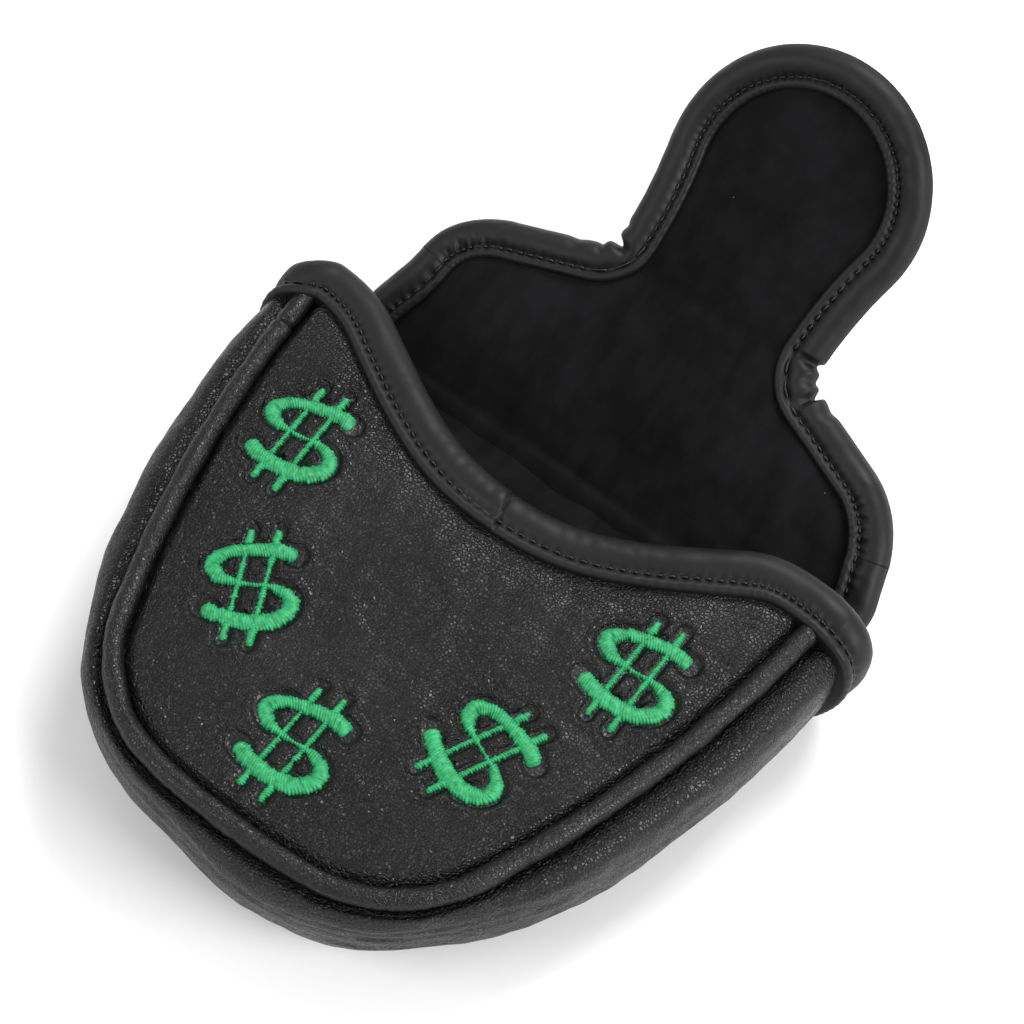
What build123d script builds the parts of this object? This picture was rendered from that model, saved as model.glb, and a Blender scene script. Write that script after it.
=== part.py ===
"""Putter head cover: a D-shaped padded pouch with a magnetic flap.

The pouch lies on its back panel. X runs along the mouth, Y from the rounded nose towards the mouth and the flap,
Z up from the table. The origin is on the table, on the middle plane of the cover. Sizes are millimetres.
"""

from build123d import *
from math import acos, atan2, cos, degrees, radians, sin
import os

os.makedirs("parts", exist_ok=True)

# --- Driving dimensions of the pouch ---
BODY_HEIGHT = 34.0
GUSSET_BULGE = 8.5
MOUTH_END_Y = 57.5
REACH = 90.0

# The seam that joins a panel to the gusset: three tangent arcs on each side, from nose to mouth
NOSE_Y = -53.5
NOSE_RADIUS = 176.0
NOSE_TURN = 6.1
CORNER_RADIUS = 33.3
CORNER_TURN = 61.7
SIDE_RADIUS = 266.0

# The front edge of the mouth: a dip in the middle that rises to a round lobe at each corner
DIP_Y = 39.0
DIP_RADIUS = 65.0
MOUTH_TURN = 32.0
RISE_LENGTH = 13.0
MOUTH_LOBE_RADIUS = 34.0
MOUTH_LOBE_OVERRUN = 25.0

# --- Cloth, foam and leather ---
LEATHER = 1.2
FOAM = 3.2
LINING = 1.2
SANDWICH = LEATHER + FOAM + LINING
PANEL_INSET = 2.4
EDGE_TURN = 1.6
LAYER_GAP = 0.2

# --- Piping: a leather strip sewn round a plastic cord ---
PIPING_RADIUS = 2.3
PIPING_CORD_RADIUS = 1.3
FRONT_PIPING_Z = BODY_HEIGHT - 1.4
BACK_PIPING_Z = 2.6
FRONT_PIPING_END_Y = 51.0
BACK_PIPING_END_Y = 56.5

# --- Binding: a leather strip folded over the raw edges ---
BINDING_WIDTH = 9.3
BINDING_LEATHER = 1.2
BINDING_END_Y = 59.5
BINDING_PIPING_COVER = 2.6

# --- Stitches ---
STITCH_PITCH = 2.4
STITCH_LENGTH = 1.8
STITCH_WIDTH = 0.6
STITCH_HEIGHT = 0.4
STITCH_INSET = 7.2
MOUTH_STITCH_REACH = 63.0

# --- Flap: measured along the flap from the fold at the back edge of the mouth ---
FLAP_HALF_THICKNESS = 3.0
FLAP_FOAM_HALF = 1.8
FLAP_BINDING_HALF = 3.8
FLAP_FOLD_Y = 64.5
FLAP_FOLD_Z = FLAP_BINDING_HALF
BASE_SLOPE = 28.6
BASE_LENGTH = 46.0
TONGUE_SLOPE = 37.0
FLAP_LENGTH = 108.5
LOBE_RADIUS = 30.1
LOBE_TURN = 103.0
NECK_RADIUS = 96.0
NECK_TURN = 13.2
NOTCH_RADIUS = 5.4
NOTCH_TURN = 69.5
SHOULDER_RUN = 19.3
SHOULDER_RADIUS = 25.3
SHOULDER_TURN = 63.5
ROOT_HALF_WIDTH = 66.0
ROOT_OVERLAP = 6.0
FOLD_GAP = 1.2
BINDING_FOLD_GAP = 5.2

# --- Magnets ---
MAGNET_RADIUS = 9.0
MAGNET_THICKNESS = 2.0
PATCH_RADIUS = 12.0
PATCH_THICKNESS = 0.4
FRONT_MAGNET_Y = 4.5
FLAP_MAGNET_FROM_TIP = 30.1

# --- Embroidery ---
THREAD_HEIGHT = 0.9
SIGN_STROKE = 2.0
SIGN_BAR_WIDTH = 1.3
SIGN_BAR_SPACING = 5.4
SIGN_BAR_LENGTH = 27.0
SIGNS = {
    "dollar_sign_1": (-44.0, 21.6, 3.0),
    "dollar_sign_2": (-29.7, -11.3, 26.0),
    "dollar_sign_3": (-0.5, -32.8, 0.0),
    "dollar_sign_4": (29.7, -11.4, -25.0),
    "dollar_sign_5": (43.7, 20.8, 1.5),
}


def finish(builder, name):
    """Label a finished piece and write it to its own file."""
    builder.part.label = name
    export_step(builder.part, f"parts/{name}.step")


def side_turn(end_y, inset=0.0):
    """Degrees of side arc that carry the seam line, moved in by inset, as far as end_y."""
    heading = radians(NOSE_TURN + CORNER_TURN)
    corner_rise = CORNER_RADIUS * (cos(radians(NOSE_TURN)) - cos(heading))
    nose_rise = NOSE_RADIUS * (1 - cos(radians(NOSE_TURN)))
    centre_y = NOSE_Y + nose_rise + corner_rise + SIDE_RADIUS * cos(heading)
    return degrees(acos((centre_y - end_y) / (SIDE_RADIUS - inset)) - heading)


def draw_half_seam(inset, end_y):
    """Add the right half of the seam line to the current line, from the nose to end_y."""
    nose = JernArc((0, NOSE_Y + inset), (1, 0), NOSE_RADIUS - inset, NOSE_TURN)
    corner = JernArc(nose @ 1, nose % 1, CORNER_RADIUS - inset, CORNER_TURN)
    side = JernArc(corner @ 1, corner % 1, SIDE_RADIUS - inset, side_turn(end_y, inset))
    return side @ 1


def panel_outline(inset, end_y):
    """The D of a panel: inside the seam line by inset, then straight on to end_y."""
    with BuildSketch() as outline:
        with BuildLine():
            corner = draw_half_seam(inset, MOUTH_END_Y)
            Polyline(corner, (corner.X, end_y), (0, end_y), (0, NOSE_Y + inset))
        make_face()
        mirror(about=Plane.YZ)
    return outline.sketch


def below_mouth(inset):
    """Everything on the nose side of the mouth's front edge, moved in by inset."""
    with BuildSketch() as region:
        with BuildLine():
            dip = JernArc((0, DIP_Y - inset), (1, 0), DIP_RADIUS + inset, MOUTH_TURN)
            rise = Line(dip @ 1, dip @ 1 + (dip % 1) * RISE_LENGTH)
            turn = MOUTH_TURN + MOUTH_LOBE_OVERRUN
            lobe = JernArc(rise @ 1, rise % 1, MOUTH_LOBE_RADIUS - inset, -turn)
            Polyline(lobe @ 1, (REACH, (lobe @ 1).Y), (REACH, -REACH), (0, -REACH), dip @ 0)
        make_face()
        mirror(about=Plane.YZ)
    return region.sketch


def flap_outline(inset, shift):
    """The whole flap in its own plane, moved in by inset; shift is the distance that becomes zero."""
    with BuildSketch() as outline:
        with BuildLine():
            lobe = JernArc((0, FLAP_LENGTH - inset - shift), (1, 0), LOBE_RADIUS - inset, -LOBE_TURN)
            neck = JernArc(lobe @ 1, lobe % 1, NECK_RADIUS + inset, NECK_TURN)
            notch = JernArc(neck @ 1, neck % 1, NOTCH_RADIUS + inset, NOTCH_TURN)
            run = Line(notch @ 1, notch @ 1 + (notch % 1) * SHOULDER_RUN)
            shoulder = JernArc(run @ 1, run % 1, SHOULDER_RADIUS - inset, -SHOULDER_TURN)
            root = (ROOT_HALF_WIDTH - inset, -shift)
            end_y = -shift - ROOT_OVERLAP
            Polyline(shoulder @ 1, root, (root[0], end_y), (0, end_y), lobe @ 0)
        make_face()
        mirror(about=Plane.YZ)
    return outline.sketch


nose_plane = Plane(origin=(0, NOSE_Y, 0), x_dir=(0, -1, 0), z_dir=(-1, 0, 0))
base_tilt = radians(BASE_SLOPE)
tongue_tilt = radians(TONGUE_SLOPE)
TONGUE_FOLD_Y = FLAP_FOLD_Y + BASE_LENGTH * cos(base_tilt)
TONGUE_FOLD_Z = FLAP_FOLD_Z + BASE_LENGTH * sin(base_tilt)
base_plane = Plane(
    origin=(0, FLAP_FOLD_Y, FLAP_FOLD_Z), x_dir=(1, 0, 0), z_dir=(0, -sin(base_tilt), cos(base_tilt))
)
tongue_plane = Plane(
    origin=(0, TONGUE_FOLD_Y, TONGUE_FOLD_Z), x_dir=(1, 0, 0), z_dir=(0, -sin(tongue_tilt), cos(tongue_tilt))
)


# --- Outlines used more than once ---
front_sheet = panel_outline(PANEL_INSET, REACH) & below_mouth(EDGE_TURN)
mouth_band = (panel_outline(-BINDING_PIPING_COVER, REACH) & below_mouth(0)) - below_mouth(BINDING_WIDTH)
back_sheet = panel_outline(PANEL_INSET, FLAP_FOLD_Y - FLAP_HALF_THICKNESS - FOLD_GAP)


def panel_layer(sheet, low, high):
    """A flat layer of a panel between two heights."""
    with BuildPart() as layer:
        with BuildSketch(Plane.XY.offset(low)):
            add(sheet)
        extrude(amount=high - low)
    return layer


def gusset_band(outer_depth, inner_depth, low, high, end_y):
    """A band that runs round the seam line; depth counts inwards from the face of the leather."""
    seam_low = BACK_PIPING_Z + PIPING_RADIUS
    seam_high = FRONT_PIPING_Z - PIPING_RADIUS
    middle = (seam_low + seam_high) / 2
    with BuildPart() as band:
        with BuildLine():
            draw_half_seam(0, end_y)
        with BuildSketch(nose_plane):
            with BuildLine():
                outer = ThreePointArc(
                    (-outer_depth, seam_high), (GUSSET_BULGE - outer_depth, middle), (-outer_depth, seam_low)
                )
                inner = ThreePointArc(
                    (-inner_depth, seam_low), (GUSSET_BULGE - inner_depth, middle), (-inner_depth, seam_high)
                )
                Line(outer @ 1, inner @ 0)
                Line(inner @ 1, outer @ 0)
            make_face()
            with Locations((0, (low + high) / 2)):
                Rectangle(4 * BODY_HEIGHT, high - low, mode=Mode.INTERSECT)
        sweep()
        mirror(about=Plane.YZ)
    return band


def piping_rod(outer_radius, inner_radius, height, end_y):
    """A round rod or tube along the seam line at a height; inner_radius 0 makes a rod."""
    with BuildPart() as rod:
        with BuildLine():
            draw_half_seam(0, end_y)
        with BuildSketch(nose_plane):
            with Locations((0, height)):
                Circle(outer_radius)
                if inner_radius:
                    Circle(inner_radius, mode=Mode.SUBTRACT)
        sweep()
        mirror(about=Plane.YZ)
    return rod


def flap_layer(plane, sheet, low, high, end):
    """One layer of a flap part, up to end; its root is rounded about the fold that the plane starts at."""
    outer = max(abs(low), abs(high))
    root_low = min(low, 0)
    root_high = max(high, 0)
    with BuildPart() as layer:
        with BuildSketch(Plane(origin=plane.origin, x_dir=plane.y_dir, z_dir=plane.x_dir)):
            Circle(outer)
            if low * high > 0:
                Circle(min(abs(low), abs(high)), mode=Mode.SUBTRACT)
            with Locations((-outer / 2, (root_low + root_high) / 2)):
                Rectangle(outer, root_high - root_low, mode=Mode.INTERSECT)
            with Locations((end / 2, (low + high) / 2)):
                Rectangle(end, high - low)
        extrude(amount=REACH, both=True)
        with BuildSketch(plane.offset(-2 * outer)):
            add(sheet)
        extrude(amount=4 * outer, mode=Mode.INTERSECT)
    return layer


def flap_binding(plane, shift, start, end, layers):
    """Binding folded over the edge of a flap part, between two distances from its fold."""
    with BuildPart() as binding:
        with BuildSketch(plane.offset(-FLAP_BINDING_HALF)):
            add(flap_outline(0, shift))
            add(flap_outline(BINDING_WIDTH, shift), mode=Mode.SUBTRACT)
            with Locations((0, (start + end) / 2)):
                Rectangle(2 * REACH, end - start, mode=Mode.INTERSECT)
        extrude(amount=2 * FLAP_BINDING_HALF)
        for layer in layers:
            add(layer.part, mode=Mode.SUBTRACT)
    return binding


def stitch_row(line, plane, low, high, half_width):
    """Short thread bars one pitch apart along a line, where it lies between two distances."""
    count = int(line.length / STITCH_PITCH)
    places = []
    for index in range(count):
        point = line @ (index / count)
        along = line % (index / count)
        if low < point.Y < high and abs(point.X) < half_width:
            turn = degrees(atan2(along.Y, along.X))
            places.append(Location((point.X, point.Y, 0), (0, 0, turn)))
    with BuildPart(plane) as row:
        with Locations(*places):
            Box(STITCH_LENGTH, STITCH_WIDTH, STITCH_HEIGHT, align=(Align.CENTER, Align.CENTER, Align.MIN))
    return row


def disc(plane, radius, thickness):
    """A round plate standing on a plane."""
    with BuildPart() as plate:
        with BuildSketch(plane):
            Circle(radius)
        extrude(amount=thickness)
    return plate


def hollowed(block, *inserts):
    """A copy of a foam block with pockets where the inserts sit."""
    with BuildPart() as foam:
        add(block.part)
        for insert in inserts:
            add(insert.part, mode=Mode.SUBTRACT)
    return foam


def sign_outline():
    """A generic double-barred dollar sign; the lower half of its stroke is the upper half turned over."""
    with BuildSketch() as half:
        with BuildLine():
            middle = Line((0, 0), (-4.5, 0.1))
            bowl = ThreePointArc(middle @ 1, (-8.8, 3.2), (-5.5, 6.6))
            ThreePointArc(bowl @ 1, (1.0, 8.3), (8.0, 7.8))
        trace(line_width=SIGN_STROKE)
    with BuildSketch() as sign:
        with PolarLocations(0, 2):
            add(half.sketch)
        with GridLocations(SIGN_BAR_SPACING, 1, 2, 1):
            Rectangle(SIGN_BAR_WIDTH, SIGN_BAR_LENGTH)
    return sign.sketch


# --- Magnets and the patches that hold them in the foam ---
front_leather_low = BODY_HEIGHT - LEATHER
front_foam_low = front_leather_low - FOAM
front_magnet_plane = Plane((0, FRONT_MAGNET_Y, front_leather_low - MAGNET_THICKNESS))
front_magnet = disc(front_magnet_plane, MAGNET_RADIUS, MAGNET_THICKNESS)
finish(front_magnet, "front_magnet")
front_patch = disc(front_magnet_plane.offset(-PATCH_THICKNESS), PATCH_RADIUS, PATCH_THICKNESS)
finish(front_patch, "front_magnet_patch")

flap_magnet_along = FLAP_LENGTH - FLAP_MAGNET_FROM_TIP - BASE_LENGTH
flap_magnet_height = FLAP_FOAM_HALF - MAGNET_THICKNESS
flap_magnet_plane = Plane(
    tongue_plane.from_local_coords(Vector(0, flap_magnet_along, flap_magnet_height)),
    x_dir=(1, 0, 0),
    z_dir=tongue_plane.z_dir,
)
flap_magnet = disc(flap_magnet_plane, MAGNET_RADIUS, MAGNET_THICKNESS)
finish(flap_magnet, "flap_magnet")
flap_patch = disc(flap_magnet_plane.offset(-PATCH_THICKNESS), PATCH_RADIUS, PATCH_THICKNESS)
finish(flap_patch, "flap_magnet_patch")

# --- Front panel ---
front_leather = panel_layer(front_sheet, front_leather_low, BODY_HEIGHT)
finish(front_leather, "front_panel_leather")
front_block = panel_layer(front_sheet, front_foam_low, front_leather_low)
front_foam = hollowed(front_block, front_magnet, front_patch)
finish(front_foam, "front_panel_foam")
front_lining = panel_layer(front_sheet, front_foam_low - LINING, front_foam_low)
finish(front_lining, "front_panel_lining")

# --- Back panel ---
back_leather = panel_layer(back_sheet, 0, LEATHER)
finish(back_leather, "back_panel_leather")
back_foam = panel_layer(back_sheet, LEATHER, LEATHER + FOAM)
finish(back_foam, "back_panel_foam")
back_lining = panel_layer(back_sheet, LEATHER + FOAM, SANDWICH)
finish(back_lining, "back_panel_lining")

# --- Gusset ---
gusset_low = BACK_PIPING_Z + PIPING_RADIUS
gusset_high = FRONT_PIPING_Z - PIPING_RADIUS
inner_low = SANDWICH + LAYER_GAP
inner_high = BODY_HEIGHT - SANDWICH - LAYER_GAP
gusset_leather = gusset_band(0, LEATHER, gusset_low, gusset_high, MOUTH_END_Y)
finish(gusset_leather, "gusset_leather")
gusset_foam = gusset_band(LEATHER, LEATHER + FOAM, inner_low, inner_high, MOUTH_END_Y)
finish(gusset_foam, "gusset_foam")
gusset_lining = gusset_band(LEATHER + FOAM, SANDWICH, inner_low, inner_high, MOUTH_END_Y)
finish(gusset_lining, "gusset_lining")

# --- Piping along both seams ---
front_cover = piping_rod(PIPING_RADIUS, PIPING_CORD_RADIUS, FRONT_PIPING_Z, FRONT_PIPING_END_Y)
finish(front_cover, "front_piping_cover")
front_cord = piping_rod(PIPING_CORD_RADIUS, 0, FRONT_PIPING_Z, FRONT_PIPING_END_Y)
finish(front_cord, "front_piping_cord")
back_cover = piping_rod(PIPING_RADIUS, PIPING_CORD_RADIUS, BACK_PIPING_Z, BACK_PIPING_END_Y)
finish(back_cover, "back_piping_cover")
back_cord = piping_rod(PIPING_CORD_RADIUS, 0, BACK_PIPING_Z, BACK_PIPING_END_Y)
finish(back_cord, "back_piping_cord")

# --- Binding of the mouth: over the front edge, then down the cut end of the gusset on each side ---
binding_low = inner_high - BINDING_LEATHER
gusset_binding = gusset_band(
    -BINDING_LEATHER, SANDWICH + BINDING_LEATHER, inner_low, gusset_high, BINDING_END_Y
)
gusset_core = gusset_band(0, SANDWICH, gusset_low, gusset_high, MOUTH_END_Y)
front_core = panel_layer(front_sheet, BODY_HEIGHT - SANDWICH, BODY_HEIGHT)
with BuildPart() as mouth_binding:
    add(gusset_binding.part)
    with Locations((0, BINDING_END_Y, 0)):
        Box(2 * REACH, 2 * BINDING_WIDTH, 4 * BODY_HEIGHT, mode=Mode.INTERSECT)
    with BuildSketch(Plane.XY.offset(binding_low)):
        add(mouth_band)
    extrude(amount=BODY_HEIGHT + BINDING_LEATHER - binding_low)
    add(gusset_core.part, mode=Mode.SUBTRACT)
    add(front_core.part, mode=Mode.SUBTRACT)
finish(mouth_binding, "mouth_binding")

mouth_stitch_line = below_mouth(STITCH_INSET).wire()
mouth_stitch_plane = Plane.XY.offset(BODY_HEIGHT + BINDING_LEATHER)
mouth_stitches = stitch_row(mouth_stitch_line, mouth_stitch_plane, 0, REACH, MOUTH_STITCH_REACH)
finish(mouth_stitches, "mouth_binding_stitches")

# --- Embroidered signs on the front panel ---
sign_face = sign_outline()
for sign_name, (sign_x, sign_y, sign_turn) in SIGNS.items():
    with BuildPart() as sign:
        with BuildSketch(Plane((sign_x, sign_y, BODY_HEIGHT)).rotated((0, 0, sign_turn))):
            add(sign_face)
        extrude(amount=THREAD_HEIGHT)
    finish(sign, sign_name)

# --- Flap base: from the fold at the back edge of the mouth to the fold at the neck ---
base_end = BASE_LENGTH - FLAP_HALF_THICKNESS - FOLD_GAP
base_sheet = flap_outline(EDGE_TURN, 0)
base_leather = flap_layer(base_plane, base_sheet, -FLAP_HALF_THICKNESS, -FLAP_FOAM_HALF, base_end)
finish(base_leather, "flap_base_leather")
base_foam = flap_layer(base_plane, base_sheet, -FLAP_FOAM_HALF, FLAP_FOAM_HALF, base_end)
finish(base_foam, "flap_base_foam")
base_lining = flap_layer(base_plane, base_sheet, FLAP_FOAM_HALF, FLAP_HALF_THICKNESS, base_end)
finish(base_lining, "flap_base_lining")
base_layers = (base_leather, base_foam, base_lining)
base_binding_end = BASE_LENGTH - BINDING_FOLD_GAP
base_binding = flap_binding(base_plane, 0, 0, base_binding_end, base_layers)
finish(base_binding, "flap_base_binding")
base_stitch_line = flap_outline(STITCH_INSET, 0).wire()
base_stitches = stitch_row(
    base_stitch_line, base_plane.offset(FLAP_BINDING_HALF), STITCH_LENGTH, base_binding_end - STITCH_LENGTH, REACH
)
finish(base_stitches, "flap_base_stitches")

# --- Flap tongue: the neck and the round lobe that holds the magnet ---
tongue_end = FLAP_LENGTH - BASE_LENGTH
tongue_sheet = flap_outline(EDGE_TURN, BASE_LENGTH)
tongue_leather = flap_layer(tongue_plane, tongue_sheet, -FLAP_HALF_THICKNESS, -FLAP_FOAM_HALF, tongue_end)
finish(tongue_leather, "flap_tongue_leather")
tongue_block = flap_layer(tongue_plane, tongue_sheet, -FLAP_FOAM_HALF, FLAP_FOAM_HALF, tongue_end)
tongue_foam = hollowed(tongue_block, flap_magnet, flap_patch)
finish(tongue_foam, "flap_tongue_foam")
tongue_lining = flap_layer(tongue_plane, tongue_sheet, FLAP_FOAM_HALF, FLAP_HALF_THICKNESS, tongue_end)
finish(tongue_lining, "flap_tongue_lining")
tongue_layers = (tongue_leather, tongue_block, tongue_lining)
tongue_binding = flap_binding(tongue_plane, BASE_LENGTH, BINDING_FOLD_GAP, tongue_end, tongue_layers)
finish(tongue_binding, "flap_tongue_binding")
tongue_stitch_line = flap_outline(STITCH_INSET, BASE_LENGTH).wire()
tongue_stitches = stitch_row(
    tongue_stitch_line,
    tongue_plane.offset(FLAP_BINDING_HALF),
    BINDING_FOLD_GAP + STITCH_LENGTH,
    tongue_end,
    REACH,
)
finish(tongue_stitches, "flap_tongue_stitches")
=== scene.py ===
"""Putter head cover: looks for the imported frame. Shapes are worked out in millimetres and made in metres."""

import bmesh
import bpy
import math
import numpy as np
from mathutils import Matrix, Vector


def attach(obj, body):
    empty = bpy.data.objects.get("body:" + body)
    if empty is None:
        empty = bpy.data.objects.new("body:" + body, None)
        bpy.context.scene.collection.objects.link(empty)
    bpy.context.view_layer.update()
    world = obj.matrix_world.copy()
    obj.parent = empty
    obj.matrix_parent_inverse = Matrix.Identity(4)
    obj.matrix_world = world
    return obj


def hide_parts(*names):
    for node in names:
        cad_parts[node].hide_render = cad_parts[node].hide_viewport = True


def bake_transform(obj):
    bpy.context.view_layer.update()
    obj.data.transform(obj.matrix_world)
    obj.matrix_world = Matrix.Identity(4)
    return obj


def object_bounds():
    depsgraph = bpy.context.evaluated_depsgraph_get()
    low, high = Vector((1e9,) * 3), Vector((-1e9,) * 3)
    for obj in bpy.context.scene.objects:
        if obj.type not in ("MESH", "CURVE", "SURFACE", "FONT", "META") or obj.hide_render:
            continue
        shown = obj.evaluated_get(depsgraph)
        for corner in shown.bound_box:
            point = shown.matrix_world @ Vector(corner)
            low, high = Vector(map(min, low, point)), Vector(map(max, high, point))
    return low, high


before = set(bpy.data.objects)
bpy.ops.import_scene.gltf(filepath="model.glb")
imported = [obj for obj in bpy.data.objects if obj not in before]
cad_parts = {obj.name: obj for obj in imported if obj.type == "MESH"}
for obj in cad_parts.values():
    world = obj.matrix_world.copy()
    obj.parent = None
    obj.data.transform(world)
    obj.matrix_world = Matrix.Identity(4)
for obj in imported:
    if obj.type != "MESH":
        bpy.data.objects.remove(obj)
cad_low, cad_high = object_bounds()

MM = 0.001

# --- Pouch ---
FACE_Z = 34.0
SEAM_NOSE_Y = -53.5
SEAM_ARCS = ((176.0, 6.1), (33.3, 61.7), (266.0, 18.6))
MOUTH_DIP_Y = 39.0
SANDWICH = 5.6
LEATHER = 1.2
FOAM_LOW = 4.3
MOUTH_EDGE_Y = 55.0
PIPING_RADIUS = 2.3
FRONT_PIPING_Z = 32.6
BACK_PIPING_Z = 2.6
BACK_EDGE_Y = 60.0
CORD_RADIUS = 1.3
GUSSET_MIDDLE_Z = 16.6
ROUND_MARK = (-3.7, 4.6)

# --- Flap, measured along the flap from the fold ---
FOLD_Y = 64.2
FOLD_Z = 3.2
FLAP_LENGTH = 109.4
FLAP_SLOPES = ((0.0, 34.6), (22.0, 22.6), (46.0, 34.3), (80.0, 45.6))
FLAP_YAW = 1.5
FLAP_SHIFT = 1.9
FLAP_SPLIT = 23.0
FLAP_ROOT = -8.0
ROOT_HALF_WIDTH = 67.0
MAGNET_FROM_TIP = 30.1
NOTCH_RADIUS = 5.4
SHOULDER_RUN = 19.3

# --- Binding ---
BAND_WIDTH = 10.8
SECTION_WIDTH = 9.3
STITCH_PITCH = 2.4
STITCH_INSET = 6.9
STITCH_RISE = 0.62
MOUTH_BAND_SCALE = BAND_WIDTH / SECTION_WIDTH

# --- Embroidery: place of each sign on the front face, and its turn in degrees ---
SIGNS = (
    (-43.6, 21.7, 4.0),
    (-29.5, -11.3, 26.0),
    (-1.0, -32.9, 0.0),
    (29.4, -11.5, -25.0),
    (43.3, 20.9, 1.5),
)
RECESS = 0.9
THREAD_PITCH = 0.6


# ----------------------------------------------------------------- curves and noise
def turtle(start, heading, moves, step=0.3):
    """Points along tangent arcs and lines; a move is (radius, turn in degrees), or (length, None) for a line."""
    x, y = start
    angle = math.radians(heading)
    points = [(x, y)]
    for size, turn in moves:
        length = size if turn is None else size * math.radians(abs(turn))
        count = max(2, int(length / step))
        bend = 0.0 if turn is None else math.radians(turn) / count
        for _ in range(count):
            x += length / count * math.cos(angle + bend / 2)
            y += length / count * math.sin(angle + bend / 2)
            angle += bend
            points.append((x, y))
    return np.array(points)


def lengths(points):
    return np.r_[0, np.cumsum(np.linalg.norm(np.diff(points, axis=0), axis=1))]


def resample(points, count):
    """Evenly spaced points along a line."""
    run = lengths(points)
    at = np.linspace(0, run[-1], count)
    return np.stack([np.interp(at, run, points[:, k]) for k in range(points.shape[1])], 1)


def cubic(a, b, c, d, t):
    """A smooth step t of the way from b to c, between neighbours a and d."""
    return 0.5 * (2 * b + (c - a) * t + (2 * a - 5 * b + 4 * c - d) * t**2 + (3 * b - a - 3 * c + d) * t**3)


def spline(points, count):
    """A smooth curve through a few points, evenly resampled."""
    p = np.array(points, float)
    p = np.vstack([2 * p[0] - p[1], p, 2 * p[-1] - p[-2]])
    out = []
    for k in range(1, len(p) - 2):
        t = np.linspace(0, 1, 40, endpoint=False)[:, None]
        out.append(cubic(*p[k - 1 : k + 3], t))
    out.append(p[-2][None])
    return resample(np.vstack(out), count)


def curve_at(points, t):
    """Values of a smooth curve through a few points at shares t of its length in points."""
    p = np.array(points, float)
    p = np.vstack([2 * p[0] - p[1], p, 2 * p[-1] - p[-2]])
    at = np.clip(np.asarray(t) * (len(p) - 3), 0, len(p) - 3 - 1e-9)
    k = at.astype(int)
    return cubic(p[k], p[k + 1], p[k + 2], p[k + 3], (at - k)[..., None])


def both_halves(half):
    """The mirror image of a line that starts on the middle plane, then the line itself."""
    return np.vstack([(half * (-1, 1))[::-1][:-1], half])


def side_normals(points):
    """Unit normals to the left of a line's direction."""
    t = np.gradient(points, axis=0)
    t /= np.linalg.norm(t, axis=1)[:, None]
    return np.stack([-t[:, 1], t[:, 0]], 1)


def smooth_step(low, high, value):
    t = np.clip((value - low) / (high - low), 0, 1)
    return t * t * (3 - 2 * t)


def ripple(points, wavelength, seed, count=9):
    """Smooth seeded noise, about -1 to 1, of a wavelength in millimetres."""
    rng = np.random.default_rng(seed)
    points = np.asarray(points, float)
    direction = rng.normal(size=(count, points.shape[-1]))
    direction /= np.linalg.norm(direction, axis=1)[:, None]
    rate = 2 * math.pi / (wavelength * rng.uniform(0.6, 1.7, count))
    phase = rng.uniform(0, 2 * math.pi, count)
    total = np.zeros(points.shape[:-1])
    for k in range(count):
        total += np.sin(points @ direction[k] * rate[k] + phase[k])
    return total / math.sqrt(count / 1.2)


def nearest(points, line):
    """Distance from each point to the nearest of a line's points, and that point's index."""
    flat = points.reshape(-1, points.shape[-1])
    best = np.empty(len(flat))
    index = np.empty(len(flat), int)
    for k in range(0, len(flat), 6000):
        part = flat[k : k + 6000]
        gap = (part**2).sum(1)[:, None] + (line**2).sum(1)[None] - 2 * part @ line.T
        index[k : k + 6000] = gap.argmin(1)
        best[k : k + 6000] = np.sqrt(np.maximum(gap.min(1), 0))
    return best.reshape(points.shape[:-1]), index.reshape(points.shape[:-1])


# ----------------------------------------------------------------- meshes
def make_object(name, vertices, faces):
    """A smooth mesh object; vertices in millimetres, faces as rows of four or lists."""
    mesh = bpy.data.meshes.new(name)
    mesh.from_pydata((np.asarray(vertices) * MM).tolist(), [], [list(map(int, f)) for f in faces])
    mesh.polygons.foreach_set("use_smooth", [True] * len(mesh.polygons))
    mesh.validate()
    mesh.update()
    item = bpy.data.objects.new(name, mesh)
    bpy.context.collection.objects.link(item)
    return item


def grid_faces(rows, columns, loop=False, start=0):
    """Quads of a grid; loop joins the last column to the first."""
    i = np.arange(rows - 1)[:, None]
    j = np.arange(columns if loop else columns - 1)[None]
    k = (j + 1) % columns
    quads = np.stack([i * columns + j, (i + 1) * columns + j, (i + 1) * columns + k, i * columns + k], -1)
    return quads.reshape(-1, 4) + start


def grid_normals(grid):
    du = np.gradient(grid, axis=0)
    dv = np.gradient(grid, axis=1)
    n = np.cross(du, dv)
    return n / np.maximum(np.linalg.norm(n, axis=2), 1e-9)[..., None]


def sunk(grid, normals, depth):
    return grid - normals * depth


def slab(name, top, bottom):
    """A closed solid between two grids of the same size; the top's normals (row x column) point outwards."""
    rows, columns = top.shape[:2]
    count = rows * columns
    faces = [grid_faces(rows, columns), grid_faces(rows, columns, start=count)[:, ::-1]]
    index = np.arange(count).reshape(rows, columns)
    rim = np.r_[index[0, :-1], index[:-1, -1], index[-1, :0:-1], index[:0:-1, 0]]
    after = np.roll(rim, -1)
    faces.append(np.stack([rim, after, after + count, rim + count], 1))
    return make_object(name, np.vstack([top.reshape(-1, 3), bottom.reshape(-1, 3)]), np.vstack(faces))


def closed_rings(rings):
    """Vertices and faces of a closed solid through rings of points (path x ring x 3), capped at both ends."""
    rows, columns = rings.shape[:2]
    faces = grid_faces(rows, columns, loop=True).tolist()
    count = rows * columns
    last = count - columns
    for j in range(columns):
        k = (j + 1) % columns
        faces.append([j, k, count])
        faces.append([last + k, last + j, count + 1])
    return np.vstack([rings.reshape(-1, 3), rings[0].mean(0), rings[-1].mean(0)]), faces


def tube(name, rings):
    return make_object(name, *closed_rings(rings))


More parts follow.
